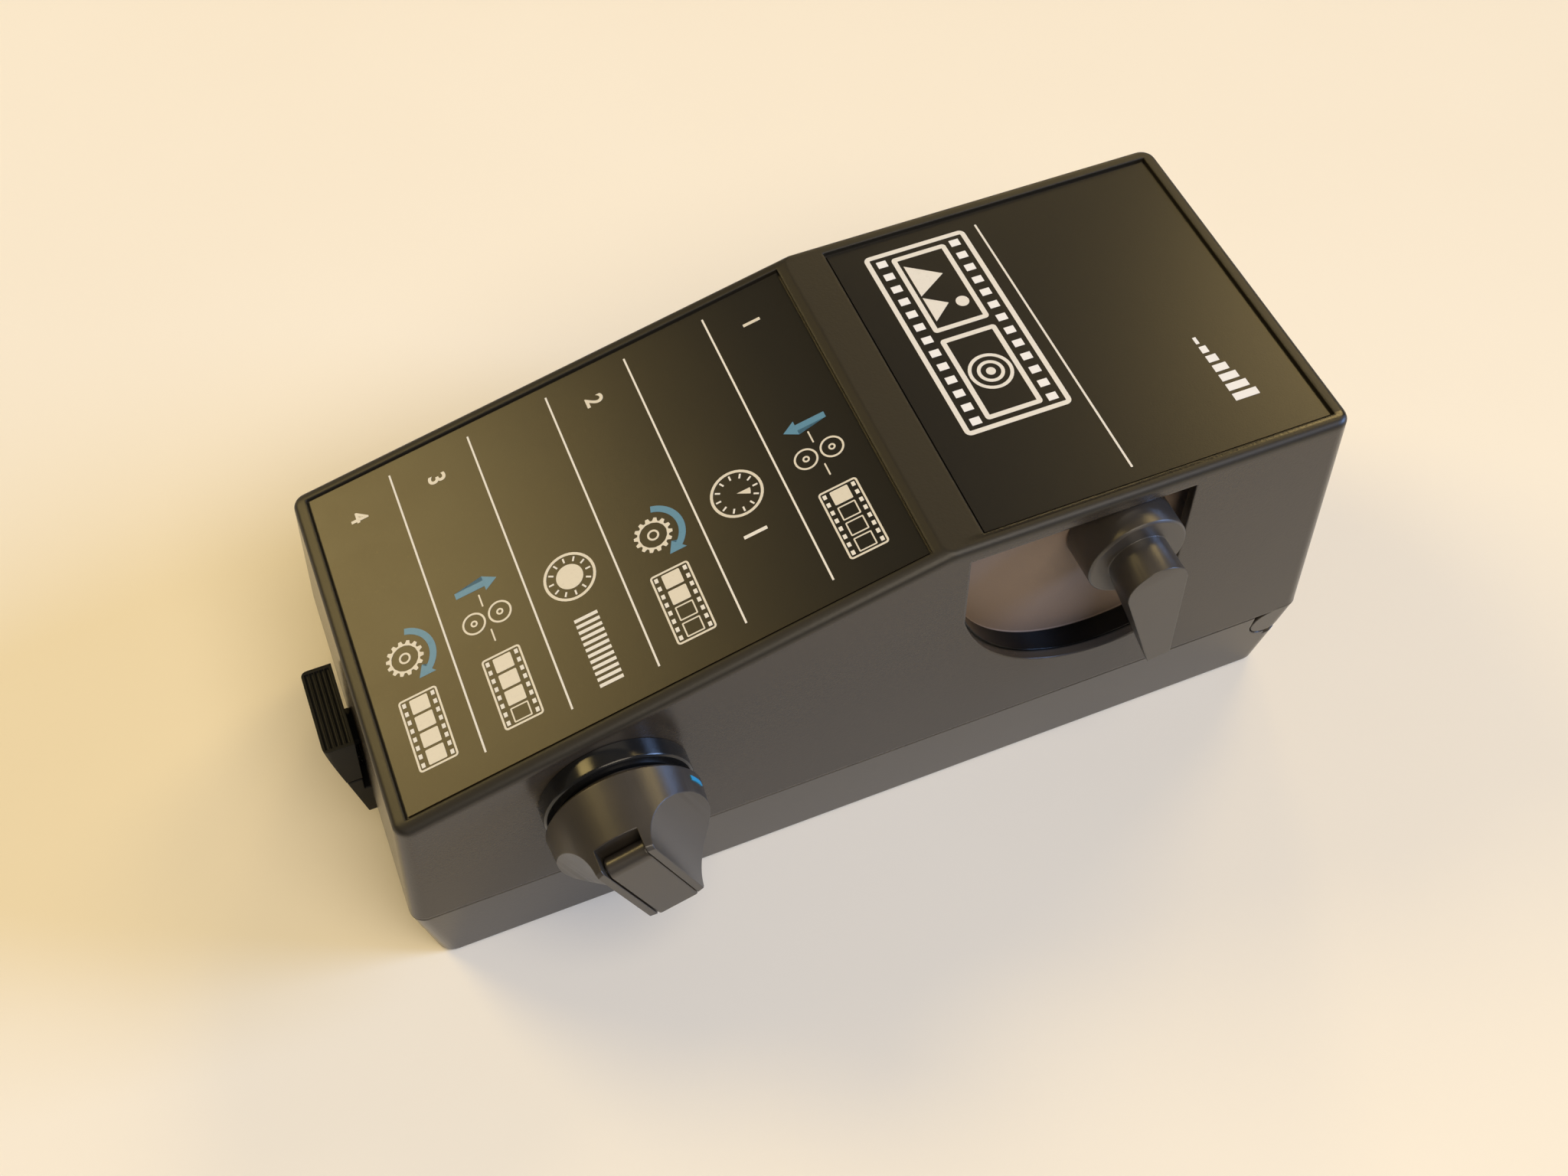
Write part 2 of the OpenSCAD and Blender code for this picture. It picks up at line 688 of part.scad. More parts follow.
module crank_bush() {
    inner = half_w(lid_h) - wall - 1.5;
    color(acetal) difference() {
        union() {
            rod(crank_at, inner, collar_front, crank_shaft_r + bush_wall);
            rod(crank_at, inner - 1.5, inner, crank_shaft_r + bush_wall + 2);
        }
        rod(crank_at, inner - 3, collar_front + over, crank_shaft_r + running);
    }
}

module lever_bush() {
    color(acetal) difference() {
        rod(lever_at, well_floor - cup_t, well_floor, lever_shaft_r + bush_wall);
        rod(lever_at, well_floor - cup_t - over, well_floor + over, lever_shaft_r + running);
    }
}

// Plate outline in the X-Z plane: level foot, top edge parallel to the roof
module plate_outline() {
    top = lid_h - roof_drop - plate_shy;
    polygon([
        [plate_x[0], plate_low], [plate_x[1], plate_low], [plate_x[1], top], [ridge_x, top],
        [plate_x[0], roof_z(plate_x[0]) - roof_drop - plate_shy]
    ]);
}

module plate(inner) {
    difference() {
        at_side([0, 0], inner) linear_extrude(plate_t) plate_outline();
        for (at = boss_at) rod(at, inner - over, inner + plate_t + over, screw_r + 0.2);
        rod(drum_at, inner - over, inner + plate_t + over, drum_axle_r + running);
        rod(lever_at, inner - over, inner + plate_t + over, lever_shaft_r + running);
        rod(guide_at, inner - over, inner + plate_t + over, roller_axle_r + fixed_play);
    }
}

module gear_plate() {
    color(steel) difference() {
        plate(plate_in);
        rod(crank_at, plate_in - over, plate_out + over, crank_shaft_r + running);
        for (at = [idler_at, rewind_idler_at])
            rod(at, plate_in - over, plate_out + over, axle_r + fixed_play);
    }
}

module back_plate() {
    color(steel) plate(plate_back - plate_t);
}

module plate_ties() {
    color(steel) for (at = tie_at) rod(at, plate_back, plate_in, tie_r);
}

module plate_screws() {
    color(steel) for (at = boss_at) {
        rod(at, plate_in - screw_head_h, plate_in, screw_head_r);
        rod(at, plate_in - 0.5, plate_out + screw_grip, screw_r);
        rod(at, plate_back, plate_back + screw_head_h, screw_head_r);
        rod(at, plate_back - plate_t - screw_grip, plate_back + 0.5, screw_r);
    }
}

// Headed stub axles for the two idlers, with a shoulder that spaces the gear off the plate
module idler_axles() {
    color(steel) for (at = [idler_at, rewind_idler_at]) {
        rod(at, plate_in, gear_out + 0.3 + axle_head_t, axle_r);
        rod(at, plate_out, gear_in - 0.3, axle_head_r);
        rod(at, gear_out + 0.3, gear_out + 0.3 + axle_head_t, axle_head_r);
    }
}

module guide_axle() {
    color(steel) rod(guide_at, plate_back - plate_t, plate_out, roller_axle_r);
}

// Local frame of the knob: X across the fin, Y along it, Z out of the crank side
module in_knob() {
    at_side(crank_at, knob_back) rotate([0, 0, fin_tilt]) children();
}

// Round knob cut away by two scoops, which leaves a fin with a slot for the handle
module crank_knob() {
    neck_r = knob_r - 4;
    edge = 0.8;
    slot_w = handle_w + 2 * handle_gap;
    color(satin_black) in_knob() difference() {
        rotate_extrude() polygon([
            [0, 0.4 - knob_gap], [neck_r, 0.4 - knob_gap], [neck_r, 0], [knob_r - edge, 0], [knob_r, edge],
            [knob_front_r, knob_t - edge], [knob_front_r - edge, knob_t], [0, knob_t]
        ]);
        for (side = [-1, 1])
            translate([side * scoop_in, 0, knob_t + scoop_rise]) rotate([90, 0, 0])
                cylinder(r = scoop_r, h = 3 * knob_r, center = true, $fn = 96);
        translate([-slot_w / 2, -2 * knob_r, knob_t - slot_depth])
            cube([slot_w, 4 * knob_r, slot_depth + over]);
        translate([-knob_r, handle_pivot, knob_t - handle_r]) rotate([0, 90, 0])
            cylinder(r = handle_pin_r + fixed_play, h = knob_r + fin_w / 2 - 0.2);
        translate([0, 0, -knob_gap])
            cylinder(r = crank_shaft_r + fixed_play, h = knob_gap + knob_t - slot_depth - 3);
        index_patch(fixed_play);
    }
}

// Coloured index let into the side of the knob, behind one scoop
module index_patch(play) {
    start = 2.6;
    width = 1.2;
    half_angle = 8;
    turn = 6;
    rotate([0, 0, turn - half_angle - play]) rotate_extrude(angle = 2 * (half_angle + play))
        polygon([
            [knob_r - 1.6, start - play], [knob_r + play * 20, start - play],
            [knob_r + play * 20, start + width + play], [knob_r - 1.6, start + width + play]
        ]);
}

module crank_index() {
    color("#2a9fd0") in_knob() index_patch(0);
}

module crank_shaft() {
    color(steel) rod(crank_at, plate_in - 2, knob_back + knob_t - slot_depth - 4, crank_shaft_r);
}

// Half the angle that a tooth fills at radius r, for a gear with the given pitch radius
function roll(r, base) = r <= base ? 0 : let (a = acos(base / r)) tan(a) * 180 / PI - a;
function tooth_half(r, pitch) =
    let (base = pitch * cos(gear_angle), thick = PI * gear_mod / 2 - gear_play / 2)
        thick / (2 * pitch) * 180 / PI + roll(pitch, base) - roll(r, base);
function polar(r, angle) = r * [cos(angle), sin(angle)];

// Involute gear outline
module gear_outline(teeth) {
    pitch = gear_mod * teeth / 2;
    root = pitch - 1.25 * gear_mod;
    start = max(pitch * cos(gear_angle), root);
    steps = 4;
    radii = [for (i = [0:steps]) start + (pitch + gear_mod - start) * i / steps];
    polygon([for (k = [0:teeth - 1]) each let (mid = 360 * k / teeth, foot = tooth_half(start, pitch)) concat(
        [polar(root, mid - foot)],
        [for (r = radii) polar(r, mid - tooth_half(r, pitch))],
        [for (i = [steps:-1:0]) polar(radii[i], mid + tooth_half(radii[i], pitch))],
        [polar(root, mid + foot)]
    )]);
}

// Spur gear with a hub, in the gear layer
module spur(at, teeth, phase, bore_r) {
    difference() {
        at_side(at, gear_in) rotate([0, 0, phase]) linear_extrude(gear_w) gear_outline(teeth);
        rod(at, gear_in - over, gear_out + over, bore_r);
        if (teeth > 18) for (out = [gear_in - over, gear_out - gear_w / 4])
            difference() {
                rod(at, out, out + gear_w / 4 + over, gear_mod * (teeth / 2 - 3));
                rod(at, out - over, out + gear_w, bore_r + 2.5);
            }
    }
}

module crank_gear() {
    color(acetal) spur(crank_at, crank_teeth, 0, crank_shaft_r + fixed_play);
}

module idler_gear() {
    color(acetal) spur(idler_at, idler_teeth, idler_phase, axle_r + running);
}

module rewind_idler_gear() {
    color(acetal) spur(rewind_idler_at, rewind_teeth, rewind_idler_phase, axle_r + running);
}

module drum_gear() {
    color(acetal) spur(drum_at, drum_teeth, drum_phase, drum_axle_r + fixed_play);
}

module rewind_gear() {
    color(acetal) spur(rewind_at, rewind_teeth, rewind_phase, crank_shaft_r + fixed_play);
}

module handle_pin() {
    cheek = fin_w / 2 - 0.4;
    color(steel) in_knob() translate([-cheek, handle_pivot, knob_t - handle_r]) rotate([0, 90, 0])
        cylinder(r = handle_pin_r, h = 2 * cheek);
}

// Flat handle that folds out of the fin about its knuckle
module crank_handle() {
    length = handle_pivot + handle_reach;
    heel = 3;
    color(satin_black) in_knob() translate([-handle_w / 2, handle_pivot, knob_t - handle_r]) difference() {
        union() {
            rotate([0, 90, 0]) cylinder(r = handle_r, h = handle_w);
            rotate([90, 0, 90]) linear_extrude(handle_w) polygon([
                [0, -handle_r], [0, handle_r], [-length, handle_r], [-length, handle_r - 1.6],
                [-length + heel, -handle_r]
            ]);
        }
        translate([-over, 0, 0]) rotate([0, 90, 0])
            cylinder(r = handle_pin_r + running, h = handle_w + 2 * over);
    }
}

// Hollow drum with a web, a hub and two end flanges
module take_up_drum() {
    front = plate_in - drum_side;
    back = plate_back + drum_side;
    wide = front - back;
    rim_t = 2.4;
    flange_t = 1.6;
    web_t = 3;
    hub = drum_axle_r + 3;
    bore = drum_axle_r + fixed_play;
    color(inner_grey) at_side(drum_at, back) rotate_extrude($fn = 96) polygon([
        [bore, 0], [hub, 0], [hub, (wide - web_t) / 2], [drum_r - rim_t, (wide - web_t) / 2],
        [drum_r - rim_t, 0], [flange_r, 0], [flange_r, flange_t], [drum_r, flange_t],
        [drum_r, wide - flange_t], [flange_r, wide - flange_t], [flange_r, wide], [drum_r - rim_t, wide],
        [drum_r - rim_t, (wide + web_t) / 2], [hub, (wide + web_t) / 2], [hub, wide], [bore, wide]
    ]);
}

module drum_axle() {
    color(steel) rod(drum_at, plate_back - plate_t - 1, gear_out + 0.5, drum_axle_r);
}

module guide_roller() {
    color(rubber) difference() {
        rod(guide_at, plate_back + guide_side, plate_in - guide_side, guide_r);
        rod(guide_at, plate_back, plate_in, roller_axle_r + running);
    }
}

// Half outline of a round end of radius r1 that narrows to a straight tip of half width r2
function taper_side(r1, r2, length) =
    let (a = asin((r1 - r2) / length)) [[r1 * cos(a), r1 * sin(a)], [r2, length]];

// Local frame of the lever: Y runs down the resting arm, Z out of the crank side
module in_lever(out) {
    at_side(lever_at, out) rotate([0, 0, arm_lean + 180]) children();
}

// Disc, hub and a wedge-shaped arm whose front face is flush with the hub
module lever_handle() {
    hub_h = lever_front - disc_front;
    floor_gap = 0.4;
    edge = 0.5;
    side = taper_side(hub_r, arm_tip_w / 2, arm_len);
    color(satin_black) difference() {
        union() {
            in_lever(well_floor + floor_gap) rotate_extrude() polygon([
                [0, 0], [disc_r, 0], [disc_r, disc_front - well_floor - floor_gap - edge],
                [disc_r - edge, disc_front - well_floor - floor_gap], [0, disc_front - well_floor - floor_gap]
            ]);
            in_lever(disc_front - 0.1) cylinder(r = hub_r, h = hub_h + 0.1);
            intersection() {
                in_lever(disc_front) linear_extrude(hub_h) polygon([
                    [0, 0], [-side[0][0], side[0][1]], [-side[1][0], side[1][1]],
                    [side[1][0], side[1][1]], [side[0][0], side[0][1]]
                ]);
                in_lever(disc_front) translate([-2 * hub_r, 0, 0]) rotate([90, 0, 90])
                    linear_extrude(4 * hub_r) polygon([
                        [-over, 0.3], [hub_r, 0.3], [arm_len, hub_h - arm_tip_t],
                        [arm_len, hub_h], [-over, hub_h]
                    ]);
            }
        }
        rod(lever_at, 0, lever_front - 3, lever_shaft_r + fixed_play);
    }
}

module lever_shaft() {
    color(steel) rod(lever_at, plate_back - plate_t - 3, lever_front - 4, lever_shaft_r);
}

// Two links on the lever shaft that carry the presser roller
module presser_arms() {
    arm_t = 4;
    tip_r = roller_axle_r + 2.5;
    root_r = lever_shaft_r + 3;
    side = taper_side(root_r, tip_r, presser_swing);
    color(inner_grey) for (from = [plate_in - 6 - arm_t, plate_back + 6]) difference() {
        at_side(lever_at, from) rotate([0, 0, 180]) union() {
            cylinder(r = root_r, h = arm_t);
            translate([0, presser_swing, 0]) cylinder(r = tip_r, h = arm_t);
            linear_extrude(arm_t) polygon([
                [-side[0][0], side[0][1]], [-side[1][0], side[1][1]],
                [side[1][0], side[1][1]], [side[0][0], side[0][1]]
            ]);
        }
        rod(lever_at, from - over, from + arm_t + over, lever_shaft_r + fixed_play);
        rod(presser_at, from - over, from + arm_t + over, roller_axle_r + fixed_play);
    }
}

module presser_axle() {
    color(steel) rod(presser_at, plate_back + axle_side, plate_in - axle_side, roller_axle_r);
}

module shaft_clip() {
    back = plate_back - plate_t - 0.3;
    color(steel) difference() {
        rod(lever_at, back - 1.2, back, lever_shaft_r + 3);
        rod(lever_at, back - 2, back + over, lever_shaft_r + fixed_play);
    }
}

module presser_roller() {
    color(rubber) difference() {
        rod(presser_at, plate_back + roller_side, plate_in - roller_side, presser_r);
        rod(presser_at, plate_back, plate_in, roller_axle_r + running);
    }
}

// Spindle that carries the rewind gear and ends in a fork for the cassette's spool
module rewind_spindle() {
    front = plate_in + 2;
    fork_len = 5;
    fork_slot = 2.2;
    color(steel) difference() {
        union() {
            rod(rewind_at, front - 7.5, gear_out + 0.5, crank_shaft_r);
            rod(rewind_at, front - 7.5 - fork_len, front - 7.5, crank_shaft_r);
        }
        translate([rewind_at[0] - 2 * crank_shaft_r, -front + 8.5, rewind_at[1] - fork_slot / 2])
            cube([4 * crank_shaft_r, fork_len, fork_slot]);
    }
}

base_tray();
grip_pads();
cassette_cradle();
rewind_bush();
hinge_pins();
latch_guard();
latch_pin();
latch_spring();
latch_button();
lid_shell();
slope_label();
flat_label();
lever_well();
crank_collar();
crank_bush();
lever_bush();
gear_plate();
back_plate();
plate_ties();
plate_screws();
idler_axles();
guide_axle();
crank_knob();
crank_index();
crank_shaft();
crank_gear();
handle_pin();
crank_handle();
idler_gear();
rewind_idler_gear();
take_up_drum();
drum_axle();
drum_gear();
guide_roller();
lever_handle();
lever_shaft();
presser_arms();
presser_axle();
shaft_clip();
presser_roller();
rewind_gear();
rewind_spindle();
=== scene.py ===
# %% [markdown]
# # A hand-cranked slide processor
# The real object is a desktop machine of black moulded plastic: a wedge-topped lid on a shallow tray, a crank knob, a
# lever in a rounded recess, and two label plates with white and blue print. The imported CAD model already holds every
# solid piece in its right place, so this lesson loads it as a fixed frame and only adds finishes, print and light.

# %% Load the frame
import json
import math

import bmesh
import bpy
from mathutils import Matrix, Vector

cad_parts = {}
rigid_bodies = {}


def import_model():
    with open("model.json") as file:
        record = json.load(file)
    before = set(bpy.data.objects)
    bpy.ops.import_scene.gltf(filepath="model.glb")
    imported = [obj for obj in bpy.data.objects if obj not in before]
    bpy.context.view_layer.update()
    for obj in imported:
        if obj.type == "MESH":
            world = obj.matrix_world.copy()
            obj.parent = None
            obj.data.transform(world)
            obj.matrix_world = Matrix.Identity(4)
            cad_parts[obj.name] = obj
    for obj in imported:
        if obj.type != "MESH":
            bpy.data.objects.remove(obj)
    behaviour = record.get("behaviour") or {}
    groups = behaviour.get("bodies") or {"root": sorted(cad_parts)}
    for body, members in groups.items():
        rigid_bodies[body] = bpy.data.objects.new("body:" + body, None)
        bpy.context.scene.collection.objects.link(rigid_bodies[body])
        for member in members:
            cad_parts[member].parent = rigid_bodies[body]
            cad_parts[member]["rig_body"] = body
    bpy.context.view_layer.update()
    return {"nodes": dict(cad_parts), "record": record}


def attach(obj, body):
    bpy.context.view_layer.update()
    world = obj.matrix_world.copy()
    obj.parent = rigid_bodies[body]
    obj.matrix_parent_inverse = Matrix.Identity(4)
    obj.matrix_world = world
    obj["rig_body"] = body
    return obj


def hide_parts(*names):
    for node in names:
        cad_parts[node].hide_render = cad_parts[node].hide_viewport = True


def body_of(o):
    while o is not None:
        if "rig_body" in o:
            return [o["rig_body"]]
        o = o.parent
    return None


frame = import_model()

NODES = frame["nodes"]
MM = 0.001

# %% [markdown]
# ## Camera
# The photograph was taken by hand from about half a metre away, above the crank side and turned a little, so the
# picture has strong perspective. The place and the turn were found by fitting the corners of the housing; here they
# are written as a position and three axes, which is easier to read than three Euler angles.

# %% Camera
PHOTO_W = 2048
FOCAL_PX = 2275.5
CAMERA_AT = Vector((-0.10079, -0.24272, 0.42581))
RIGHT = Vector((0.92726, -0.37437, -0.00600))
FORWARD = Vector((0.20319, 0.51661, -0.83176))


def aim_camera():
    data = bpy.data.cameras.new("camera")
    data.sensor_width = 36.0
    data.lens = FOCAL_PX / PHOTO_W * data.sensor_width
    data.clip_start = 0.01
    camera = bpy.data.objects.new("camera", data)
    bpy.context.scene.collection.objects.link(camera)
    up = RIGHT.cross(FORWARD).normalized()
    turn = Matrix((RIGHT, up, -FORWARD)).transposed()
    camera.matrix_world = Matrix.Translation(CAMERA_AT) @ turn.to_4x4()
    bpy.context.scene.camera = camera
    return data.lens


print("camera with a lens of", round(aim_camera(), 2), "mm")

# %% [markdown]
# ## Writing nodes as formulas
# A finish is a small tree of nodes, and so is a pattern that repeats. Wiring each one by hand hides the idea, so a
# socket is wrapped in a class whose operators add Math nodes: `0.4 + 0.2 * grain` then makes two nodes and their links.
# Everything else, such as a noise or a row of copies, comes from one method that takes a node's type, its settings and
# what goes into its sockets. It serves shaders and Geometry Nodes alike.

# %% Sockets that can be added and multiplied
class Value:
    """A socket in a node tree, with the usual operators."""

    def __init__(self, net, socket):
        self.net, self.socket = net, socket

    def _math(self, operation, left, right):
        return self.net.node("ShaderNodeMath", {"operation": operation}, {0: left, 1: right})

    def __add__(self, other):
        return self._math("ADD", self, other)

    def __radd__(self, other):
        return self._math("ADD", other, self)

    def __sub__(self, other):
        return self._math("SUBTRACT", self, other)

    def __rsub__(self, other):
        return self._math("SUBTRACT", other, self)

    def __mul__(self, other):
        return self._math("MULTIPLY", self, other)

    def __rmul__(self, other):
        return self._math("MULTIPLY", other, self)

    def __truediv__(self, other):
        return self._math("DIVIDE", self, other)

    def __rtruediv__(self, other):
        return self._math("DIVIDE", other, self)


class Net:
    """A node tree that is built a node at a time."""

    def __init__(self, tree):
        self.tree = tree

    def node(self, kind, settings=None, sockets=None, output=0):
        made = self.tree.nodes.new(kind)
        for key, value in (settings or {}).items():
            setattr(made, key, value)
        for key, value in (sockets or {}).items():
            self.put(made.inputs[key], value)
        return Value(self, made.outputs[output])

    def put(self, socket, value):
        if isinstance(value, Value):
            self.tree.links.new(value.socket, socket)
        else:
            socket.default_value = value


class Finish(Net):
    """A material with one Principled shader."""

    def __init__(self, name, **shader):
        self.material = bpy.data.materials.new(name)
        self.material.use_nodes = True
        super().__init__(self.material.node_tree)
        self.shader = self.tree.nodes["Principled BSDF"]
        self.where = Value(self, self.tree.nodes.new("ShaderNodeTexCoord").outputs["Object"])
        for socket, value in shader.items():
            self.feed(socket.replace("_", " "), value)

    def feed(self, socket, value):
        self.put(self.shader.inputs[socket], value)

    def axis(self, index):
        """One coordinate of the point, in metres: 0, 1, 2 for X, Y, Z."""
        return self.node("ShaderNodeSeparateXYZ", {}, {"Vector": self.where}, output=index)

    def noise(self, size, detail=2.0, roughness=0.5, stretch=(1, 1, 1)):
        """Noise whose blobs are about as large as the given size in metres."""
        where = self.where
        if stretch != (1, 1, 1):
            where = self.node("ShaderNodeMapping", {}, {"Vector": where, "Scale": stretch})
        return self.node("ShaderNodeTexNoise", {}, {
            "Vector": where, "Scale": 1.0 / size, "Detail": detail, "Roughness": roughness})

    def ramp(self, value, low, high):
        """0 at low, 1 at high, and even in between."""
        return self.node("ShaderNodeMapRange", {"clamp": True}, {"Value": value, "From Min": low, "From Max": high})

    def blend(self, factor, first, second):
        """Mix of two colours."""
        return self.node("ShaderNodeMix", {"data_type": "RGBA"}, {0: factor, 6: first, 7: second}, output=2)

    def relief(self, height, depth, edge=0.0):
        """Bump on the shader, over edges rounded by the given radius."""
        sockets = {"Height": height, "Strength": 1.0, "Distance": depth}
        if edge:
            sockets["Normal"] = self.node("ShaderNodeBevel", {"samples": 6}, {"Radius": edge})
        self.feed("Normal", self.node("ShaderNodeBump", {}, sockets))


def grey(level, warm=0.0):
    return (level * (1 + warm), level, level * (1 - warm), 1.0)


print("finish tools ready")

# %% [markdown]
# ## Moulded plastics
# The housing is charcoal plastic with a fine spark-eroded grain, the knob and lever are the same plastic with a
# smoother satin face, the collar is polished, and the latch is dull. The grain is a noise of about half a millimetre
# that only dents the surface; wide, faint noises vary the roughness as handling does. Edges are rounded in the normals.
# The rim round the labels is darker and duller than the walls, and its brown tint is a painted warm sheen. The inner
# edge by the lever is rubbed smooth. Where a finish changes from one stretch to the next, it is worked out from the
# point's own place.

# %% Plastics
LOW_X, LOW_Z, RIDGE_X, TALL_Z = -120.0, 70.5, 14.7, 105.5
SLOPE = math.atan2(TALL_Z - LOW_Z, RIDGE_X - LOW_X)
RISE = math.tan(SLOPE)
LABEL_GAP = 0.7
RIM_FRONT = min(corner[1] for corner in NODES["flat_label"].bound_box) - LABEL_GAP * MM
RECESS_FLOOR = 0.0442
RECESS_RIGHT = max(corner[0] for corner in NODES["lever_well"].bound_box)


def textured_black():
    f = Finish("textured_black", Specular_IOR_Level=0.5)
    grain = f.noise(0.00055, 3.0, 0.6)
    cells = f.node("ShaderNodeTexVoronoi", {"feature": "SMOOTH_F1"}, {"Vector": f.where, "Scale": 1500.0})
    handled = f.noise(0.05, 3.0)
    dust = f.ramp(f.noise(0.0016, 4.0, 0.7), 0.66, 0.78) * f.ramp(f.noise(0.03, 2.0), 0.45, 0.65)
    under_slope = f.axis(2) - f.axis(0) * RISE - (LOW_Z - LOW_X * RISE) * MM
    under_flat = f.axis(2) - TALL_Z * MM
    under_top = f.node("ShaderNodeMath", {"operation": "MAXIMUM"}, {0: under_flat, 1: under_slope})
    rim = f.ramp(under_top, -0.003, -0.0012)
    across = f.axis(1) - RIM_FRONT
    rubbed = f.ramp(across, -0.0012, -0.0008) * f.ramp(across, 0.0006, 0.0002) * f.ramp(f.axis(0), 0.018, 0.03)
    f.feed("Roughness", 0.16 + 0.08 * handled + 0.06 * grain + rim * (0.2 - 0.3 * rubbed))
    wall = f.blend(dust * 0.3 + handled * 0.25, grey(0.03, 0.22), grey(0.055, 0.25))
    # the rim is darker than the walls, and its brown tint is a painted warm sheen
    f.feed("Base Color", f.blend(rim, wall, (0.017, 0.014, 0.009, 1)))
    f.relief(grain * 0.6 + cells * 0.6, 0.00002, 0.0008)
    return f.material


def recess_black():
    """Grained on the floor of the lever recess, polished on its sides, which stand further out. The floor's pale brown
    is painted light, for the table's light that the recess shuts out, and the side at the right is painted lighter
    where light falls on it.
    """
    f = Finish("recess_black", Specular_IOR_Level=0.2)
    side = f.ramp(0.0 - f.axis(1), RECESS_FLOOR + 0.0002, RECESS_FLOOR + 0.0005)
    grain = f.noise(0.00055, 3.0, 0.6)
    # painted light: the polished side is made paler towards the right end of the recess, as if lit
    painted_light_right = f.ramp(f.axis(0), RECESS_RIGHT - 0.004, RECESS_RIGHT - 0.001)
    dark = f.blend(painted_light_right, grey(0.002), grey(0.08, 0.2))
    # painted light: the floor's pale brown stands in for the table's light that the recess shuts out
    f.feed("Base Color", f.blend(side, (0.21, 0.16, 0.13, 1), dark))
    f.feed("Roughness", (0.46 + 0.08 * grain) * (1.0 - 0.75 * side))
    f.relief(grain * (1.0 - side), 0.00002, 0.0003)
    return f.material


def satin_black():
    f = Finish("satin_black", Specular_IOR_Level=0.8)
    grain = f.noise(0.0003, 2.0)
    handled = f.noise(0.012, 3.0)
    f.feed("Base Color", f.blend(handled, grey(0.024, 0.15), grey(0.038, 0.2)))
    f.feed("Roughness", 0.3 + 0.1 * handled)
    f.relief(grain, 0.00001, 0.0004)
    return f.material


def matte_black():
    """Duller plastic of the latch."""
    f = Finish("matte_black", Specular_IOR_Level=0.25)
    tone_mask = f.noise(0.006, 3.0)
    f.feed("Base Color", f.blend(tone_mask, grey(0.002), grey(0.006)))
    f.feed("Roughness", 0.46 + 0.1 * tone_mask)
    f.relief(f.noise(0.0005), 0.00003, 0.0003)
    return f.material


def gloss_black():
    f = Finish("gloss_black", Specular_IOR_Level=0.5)
    haze = f.noise(0.008, 3.0)
    f.feed("Base Color", f.blend(haze, grey(0.006), grey(0.014)))
    f.feed("Roughness", 0.1 + 0.12 * haze)
    f.relief(f.noise(0.004, 1.0), 0.00003, 0.0004)
    return f.material


def inner_grey():
    f = Finish("inner_grey")
    flow = f.noise(0.02, 3.0, 0.5, (1, 0.3, 1))
    f.feed("Base Color", f.blend(flow, grey(0.09, 0.03), grey(0.13, 0.05)))
    f.feed("Roughness", 0.4 + 0.2 * flow)
    f.relief(f.noise(0.0006), 0.00003, 0.0004)
    return f.material


def natural_acetal():
    f = Finish("natural_acetal")
    cloud = f.noise(0.006, 3.0)
    f.feed("Base Color", f.blend(cloud, (0.68, 0.64, 0.54, 1), (0.8, 0.77, 0.68, 1)))
    f.feed("Roughness", 0.28 + 0.2 * cloud)
    f.relief(f.noise(0.0008), 0.00002, 0.0003)
    return f.material


PLASTICS = {
    "textured_plastic": textured_black(), "satin_plastic": satin_black(), "gloss_plastic": gloss_black(),
    "inner_plastic": inner_grey(), "acetal": natural_acetal(),
}
print("plastics:", sorted(PLASTICS))

# %% [markdown]
# ## Labels, metal, rubber and the blue index
# The label plates are satin black with a painted brown sheen towards the low end, mottled by smudges. The metal inside
# is plain steel with a drawn grain, and the pads and rollers are dull rubber.

# %% Other finishes
def label_black():
    f = Finish("label_black", Specular_IOR_Level=0.5)
    smudge = f.ramp(f.noise(0.022, 4.0, 0.6), 0.4, 0.7)
    fine = f.noise(0.0004, 2.0)
    specks = f.ramp(f.noise(0.0011, 3.0, 0.7), 0.6, 0.8)
    # painted sheen: a brown tone that grows towards the low end of the slope, mottled by smudges and specks, stands in
    # for the warm lamps' reflection
    tone_mask = f.ramp(f.axis(0), 0.0, -0.11) * (0.6 + 0.4 * smudge)
    f.feed("Base Color", f.blend(tone_mask * (0.6 + 0.4 * specks), grey(0.007, 0.1), (0.06, 0.042, 0.016, 1)))
    f.feed("Roughness", 0.27 + 0.05 * fine + 0.08 * tone_mask)
    f.relief(fine, 0.00001)
    return f.material


def drawn_steel():
    f = Finish("drawn_steel", Metallic=1.0)
    lines = f.noise(0.0008, 4.0, 0.6, (0.04, 1, 1))
    stain = f.noise(0.03, 3.0)
    f.feed("Base Color", f.blend(stain, (0.5, 0.5, 0.5, 1), (0.62, 0.62, 0.61, 1)))
    f.feed("Roughness", 0.24 + 0.2 * lines)
    f.relief(lines, 0.00002, 0.0003)
    return f.material


def dull_rubber():
    f = Finish("dull_rubber", Specular_IOR_Level=0.3)
    bloom = f.noise(0.01, 4.0)
    f.feed("Base Color", f.blend(bloom, grey(0.02), grey(0.045)))
    f.feed("Roughness", 0.65 + 0.2 * bloom)
    f.relief(f.noise(0.0007, 3.0), 0.00008, 0.0003)
    return f.material


def printed(name, colour, dark):
    """Screen-printed ink: nearly even, with thin spots."""
    f = Finish(name, Specular_IOR_Level=0.4)
    thin = f.ramp(f.noise(0.0009, 3.0, 0.6), 0.55, 0.8)
    f.feed("Base Color", f.blend(thin * 0.5, colour, dark))
    f.feed("Roughness", 0.4 + 0.1 * thin)
    return f.material


